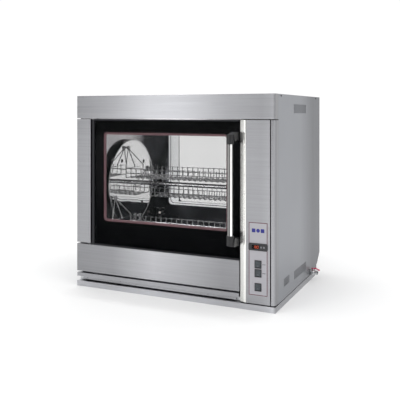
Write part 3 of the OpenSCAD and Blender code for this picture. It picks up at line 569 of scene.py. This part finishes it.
def hanger_eye(made, centre, width):
    """An eye with chamfered ends that turns on its carrier pin."""
    bore, mouth, outer, chamfer = 4.06 * MM, 4.8 * MM, 7.95 * MM, 0.8 * MM
    half = width / 2
    profile = [(chamfer - half, bore), (-half, mouth), (-half, outer - chamfer), (chamfer - half, outer),
               (half - chamfer, outer), (half, outer - chamfer), (half, mouth), (half - chamfer, bore)]
    made.lathe(profile, centre, "x", 32)


def baskets():
    """Four welded wire troughs, each hung from two eyes by bent wires."""
    troughs = {o["name"]: o["box_m"] for o in frame["record"]["physics"]["openings"]}
    corner = 7 * MM
    knee_rise = 6 * MM
    eye_w = 8 * MM
    eye_in = 5.2 * MM
    for i in range(1, 5):
        node = f"basket_{i}"
        _, pin_y, pin_z = JOINT[f"{node}_swing"]["pos_m"]
        lo, hi = troughs[f"{node}_trough"]
        x0, y0, z0 = (value - TROUGH_MARGIN + WIRE for value in lo)
        x1, y1 = (value + TROUGH_MARGIN - WIRE for value in hi[:2])
        z1 = hi[2] - 2 * MM - WIRE
        end_lo, end_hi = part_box(node)
        made = Build()
        for k in range(CROSS_WIRES + 1):
            x = x0 + (x1 - x0) * k / CROSS_WIRES
            foot = [(x, y0, z1 + WIRE)]
            foot += [(x, y, z) for y, z in arc((y0 + corner, z0 + corner), corner, 180, 270, 4)]
            foot += [(x, y, z) for y, z in arc((y1 - corner, z0 + corner), corner, 270, 360, 4)]
            foot += [(x, y1, z1 + WIRE)]
            made.tube(foot, THIN_WIRE, 8)
        made.tube([(x0, y0, z1), (x1, y0, z1), (x1, y1, z1), (x0, y1, z1)], WIRE, 10, closed=True)
        middle_y, middle_z = (y0 + y1) / 2, (z0 + z1) / 2
        long_wires = [(y0, middle_z), (y1, middle_z)]
        long_wires += [((y0 * 3 + y1) / 4, z0), (middle_y, z0), ((y0 + y1 * 3) / 4, z0)]
        for y, z in long_wires:
            made.tube([(x0 - WIRE / 2, y, z), (x1 + WIRE / 2, y, z)], THIN_WIRE, 8)
        for side, x_eye, x_end in ((-1, end_lo.x, x0), (1, end_hi.x, x1)):
            x_mid = x_eye - side * eye_w / 2
            hanger_eye(made, (x_mid, pin_y, pin_z), eye_w)
            for y in (y0, middle_y, y1):
                lean = (y - middle_y) * 0.05
                knee = (x_end, y, z1 + knee_rise)
                made.tube([(x_mid, pin_y + lean, pin_z - eye_in), knee, (x_end, y, z1)], WIRE, 8)
        mesh_piece(f"{node}_wires", made, "wire_chrome", node, replaced=(node,))


def disc_rims():
    """A rolled rim round each end disc."""
    axis_y, axis_z = JOINT["rotor_spin"]["pos_m"][1:]
    for name, side in (("left_rotor_disc", -1), ("right_rotor_disc", 1)):
        lo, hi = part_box(name)
        face = hi.x if side < 0 else lo.x
        radius = (hi.z - lo.z) / 2
        made = Build()
        bead = 3 * MM
        profile = arc((0, radius - bead), bead * 0.98, 0, 360, 12)[:-1]
        made.lathe(profile, (face + side * bead * 0.4, axis_y, axis_z), "x", 128)
        mesh_piece(f"{name}_rim", made, "polished_steel", "rotor")


PRINT_T = 0.15 * MM


def label_outline():
    """The printed line round the label."""
    lo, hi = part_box("label_panel")
    front, back = lo.y - PRINT_T, lo.y
    line, inset = 2.2 * MM, 0.6 * MM
    x0, x1, z0, z1 = lo.x + inset, hi.x - inset, lo.z + inset, hi.z - inset
    made = Build()
    made.box((x0, front, z0), (x1, back, z0 + line))
    made.box((x0, front, z1 - line), (x1, back, z1))
    made.box((x0, front, z0 + line), (x0 + line, back, z1 - line))
    made.box((x1 - line, front, z0 + line), (x1, back, z1 - line))
    mesh_piece("label_outline", made, "print_red", "cabinet", smooth=False)


def label_motif():
    """A plain square, disc and square in a row near the label's top."""
    lo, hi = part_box("label_panel")
    half, pitch = 6.5 * MM, 16 * MM
    middle, z = (lo.x + hi.x) / 2, hi.z - 28 * MM
    made = Build()
    for k, corner in ((-1, 1.5 * MM), (0, 6.4 * MM), (1, 1.5 * MM)):
        x = middle + k * pitch
        made.slab(rounded(x - half, x + half, z - half, z + half, corner), lo.y - PRINT_T, lo.y)
    mesh_piece("label_motif", made, "motif_blue", "cabinet", smooth=False)


def switch_marks():
    """Two short dashes beside each of the upper two switches."""
    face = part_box("label_panel")[0].y
    length, half, pitch = 4.5 * MM, 1.3 * MM, 6 * MM
    made = Build()
    for name in ("rocker_1", "rocker_2"):
        lo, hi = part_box(name)
        z = (lo.z + hi.z) / 2
        for k in range(2):
            x = hi.x + 5 * MM + k * pitch
            made.slab(rounded(x, x + length, z - half, z + half, 1.1 * MM), face - PRINT_T, face)
    mesh_piece("switch_marks", made, "print_grey", "cabinet", smooth=False)


def seven_segments(made, x, z, width, height, y0, y1, lit):
    """One digit of a display: lit names the segments a to g."""
    bar = width * 0.22
    gap = bar * 0.25
    h = height / 2
    flat = {"a": z + height, "g": z + h, "d": z}
    upright = {"f": (x, z + h), "b": (x + width, z + h), "e": (x, z), "c": (x + width, z)}
    for key, level in flat.items():
        if key in lit:
            made.box((x + gap, y0, level - bar / 2), (x + width - gap, y1, level + bar / 2))
    for key, (left, low) in upright.items():
        if key in lit:
            made.box((left - bar / 2, y0, low + gap), (left + bar / 2, y1, low + h - gap))


def display():
    """The controller's dark lens and, on it, three lit digits."""
    lo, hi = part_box("controller_housing")
    face, middle_z = lo.y, (lo.z + hi.z) / 2
    left, right = lo.x + 12.3 * MM, (lo.x + hi.x) / 2 + 5.7 * MM
    half_h = 6.7 * MM
    made = Build()
    outline = rounded(left, right, middle_z - half_h, middle_z + half_h, 1.5 * MM)
    made.slab(outline, face + 0.2 * MM, face + 0.9 * MM)
    mesh_piece("display_lens", made, "display_window", "cabinet", smooth=False)
    made = Build()
    digit_w, digit_h, pitch = 4.2 * MM, 8.4 * MM, 7.0 * MM
    first = left + 5.5 * MM
    for k, lit in enumerate(("bc", "abcdefg", "abcdef")):
        seven_segments(made, first + k * pitch, middle_z - digit_h / 2, digit_w, digit_h,
                       face + 0.02 * MM, face + 0.18 * MM, lit)
    mesh_piece("display_digits", made, "digit_red", "cabinet", smooth=False)


def key_marks():
    """A triangle on each key, pointing up or down."""
    half_w, height = 1.6 * MM, 1.7 * MM
    for name, up in (("key_up", 1), ("key_down", -1)):
        lo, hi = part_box(name)
        x, z = (lo.x + hi.x) / 2, (lo.z + hi.z) / 2
        tip, foot = z + up * height, z - up * height * 0.7
        outline = [(x - half_w, foot), (x + half_w, foot), (x, tip)]
        made = Build()
        made.slab(outline if up > 0 else outline[::-1], lo.y - 0.1 * MM, lo.y)
        mesh_piece(f"{name}_mark", made, "label_face", name, smooth=False)


def rocker_marks():
    """A small moulded bar on the lower half of each rocker."""
    half_w = 3 * MM
    for i in (1, 2, 3):
        name = f"rocker_{i}"
        lo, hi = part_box(name)
        x, z = (lo.x + hi.x) / 2, (lo.z + hi.z) / 2
        made = Build()
        outline = rounded(x - half_w, x + half_w, z - 6.4 * MM, z - 5.2 * MM, 0.5 * MM)
        made.slab(outline, lo.y + 0.85 * MM, lo.y + 2.55 * MM)
        mesh_piece(f"{name}_mark", made, "print_light", name, smooth=False)


def vent_screens():
    """Woven wire screens behind the top vent and the large lower vent of each side."""
    pitch, radius = 3.4 * MM, 0.75 * MM
    for name, side in (("left_side_panel", -1), ("right_side_panel", 1)):
        lo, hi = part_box(name)
        upright_x = (hi.x if side > 0 else lo.x) - side * 3.2 * MM
        level_x = upright_x - side * 0.9 * MM
        top_vent = (hi.y - 336 * MM, hi.y - 164 * MM, hi.z - 70 * MM, hi.z - 31 * MM)
        low_vent = (hi.y - 333 * MM, hi.y - 154 * MM, lo.z + 34.5 * MM, lo.z + 72.5 * MM)
        made = Build()
        for y0, y1, z0, z1 in (top_vent, low_vent):
            y = y0
            while y <= y1:
                made.tube([(upright_x, y, z0), (upright_x, y, z1)], radius, 6)
                y += pitch
            z = z0
            while z <= z1:
                made.tube([(level_x, y0, z), (level_x, y1, z)], radius, 6)
                z += pitch
        mesh_piece(f"{name}_screens", made, "zinc_steel", "cabinet")


def window_reveal():
    """A bright folded lining round the tunnel of the rear window, glowing as painted light for the light in the
    tunnel, with the seal of its outer pane.
    """
    lo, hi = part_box("rear_glass")
    inset, pane, sheet = 8.6 * MM, 4.2 * MM, 0.8 * MM
    x0, x1, z0, z1 = lo.x + inset, hi.x - inset, lo.z + inset, hi.z - inset
    y0, y1 = lo.y + pane, hi.y - pane
    made = Build()
    made.box((x0, y0, z0), (x0 + sheet, y1, z1))
    made.box((x1 - sheet, y0, z0), (x1, y1, z1))
    made.box((x0 + sheet, y0, z0), (x1 - sheet, y1, z0 + sheet))
    made.box((x0 + sheet, y0, z1 - sheet), (x1 - sheet, y1, z1))
    lining = mesh_piece("rear_window_lining", made, "reveal_white", "cabinet", smooth=False)
    eased(lining, 0.2)
    seal_in = 8 * MM
    made = Build()
    outline = rounded(x0 + seal_in, x1 - seal_in, z0 + seal_in, z1 - seal_in, 18 * MM)
    made.tube([(x, y0 + 3 * MM, z) for x, z in outline], 1.4 * MM, 8, closed=True)
    mesh_piece("rear_window_seal", made, "black_rubber", "cabinet")


def lamp_glass():
    """A domed lens over the cavity lamp."""
    lo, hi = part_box("lamp_housing")
    centre = ((lo.x + hi.x) / 2, lo.y, (lo.z + hi.z) / 2)
    radius, rise, seat = 5.0 * MM, 3.5 * MM, 3 * MM
    dome = [(seat - rise * math.cos(a), radius * math.sin(a)) for a in (0.02, 0.4, 0.8, 1.2, math.pi / 2)]
    made = Build()
    made.lathe(dome + [(seat, 0.02 * radius)], centre, "y", 32)
    mesh_piece("lamp_lens", made, "lamp_glow", "cabinet")


# ---------------------------------------------------------------- stage


# Grey levels of the surroundings over two parts of the direction, each from -1 to 1
FRONT_TO_BACK = ((-1.0, 0.16), (-0.72, 0.18), (-0.3, 0.7), (0.45, 0.82), (1.0, 0.82))
HORIZON_TO_ZENITH = ((-1.0, 0.0), (0.05, 0.0), (0.6, 0.95), (1.0, 1.0))


def studio_floor():
    """A wide pale floor just under the base."""
    bpy.ops.mesh.primitive_plane_add(size=60, location=(0, 0, cad_box[0][2] - 0.0002))
    floor = bpy.context.object
    floor.name = "studio_floor"
    s = Shade("floor_paint")
    tone = s.noise(0.8, detail=2.0)
    s.link(s.ramp(tone, (0.3, (0.93, 0.93, 0.93)), (0.7, (0.95, 0.95, 0.95))), s.bsdf.inputs["Base Color"])
    s.set(Roughness=0.9)
    floor.data.materials.append(s.material)


def studio_world():
    """Surroundings that are bright above and behind the object and dark in front of it."""
    world = bpy.data.worlds.new("studio_world")
    bpy.context.scene.world = world
    world.use_nodes = True
    tree = world.node_tree

    def level(source, stops):
        """A grey level that follows one part of the direction."""
        shifted = tree.nodes.new("ShaderNodeMapRange")
        shifted.inputs["From Min"].default_value = -1
        ramp = tree.nodes.new("ShaderNodeValToRGB")
        while len(ramp.color_ramp.elements) < len(stops):
            ramp.color_ramp.elements.new(0.5)
        for end, (place, value) in zip(ramp.color_ramp.elements, stops):
            end.position = (place + 1) / 2
            end.color = (value, value, value, 1)
        tree.links.new(source, shifted.inputs["Value"])
        tree.links.new(shifted.outputs["Result"], ramp.inputs["Fac"])
        return ramp.outputs["Color"]

    coords = tree.nodes.new("ShaderNodeTexCoord")
    split = tree.nodes.new("ShaderNodeSeparateXYZ")
    tree.links.new(coords.outputs["Generated"], split.inputs[0])
    around = level(split.outputs[1], FRONT_TO_BACK)
    upward = level(split.outputs[2], HORIZON_TO_ZENITH)
    both = tree.nodes.new("ShaderNodeMix")
    both.data_type = "RGBA"
    both.blend_type = "LIGHTEN"
    both.inputs[0].default_value = 1.0
    tree.links.new(around, both.inputs[6])
    tree.links.new(upward, both.inputs[7])
    background = tree.nodes["Background"]
    tree.links.new(both.outputs[2], background.inputs["Color"])
    background.inputs["Strength"].default_value = 1.25


def softbox(name, place, target, width, height, power):
    """A rectangular area light that faces a target."""
    data = bpy.data.lights.new(name, "AREA")
    data.shape = "RECTANGLE"
    data.size = width
    data.size_y = height
    data.energy = power
    light = bpy.data.objects.new(name, data)
    light.location = place
    light.rotation_mode = "QUATERNION"
    light.rotation_quaternion = (Vector(target) - Vector(place)).to_track_quat("-Z", "Y")
    bpy.context.scene.collection.objects.link(light)


def lights():
    """A tall strip in front, one box overhead, one at the right and a faint glow over the low basket."""
    middle = (0, 0, 0.4)
    softbox("front_strip", (-1.55, -3.3, 0.8), (-0.1, -0.3, 0.6), 0.55, 2.4, 14)
    softbox("overhead", (0.3, -0.8, 3.0), middle, 2.5, 2.5, 12)
    softbox("right_fill", (3.2, -1.2, 1.4), middle, 1.5, 2.0, 4)
    softbox("low_basket_glow", (-0.03, -0.262, 0.345), (-0.03, -0.18, 0.15), 0.46, 0.02, 0.5)


def camera():
    """Level camera to the right of the front's centre, with its frame shifted down."""
    data = bpy.data.cameras.new("camera")
    data.lens = 55.12
    data.sensor_width = 36.0
    data.shift_y = -0.2195
    data.dof.use_dof = False
    made = bpy.data.objects.new("camera", data)
    made.location = (1.0382, -2.2772, 0.6768)
    made.rotation_euler = (math.radians(90), 0, math.radians(24.84))
    bpy.context.scene.collection.objects.link(made)
    bpy.context.scene.camera = made


dress_cad_nodes()
baskets()
disc_rims()
label_outline()
label_motif()
switch_marks()
display()
key_marks()
rocker_marks()
vent_screens()
window_reveal()
lamp_glass()
studio_floor()
studio_world()
lights()
camera()
bpy.context.scene.view_settings.view_transform = "Standard"
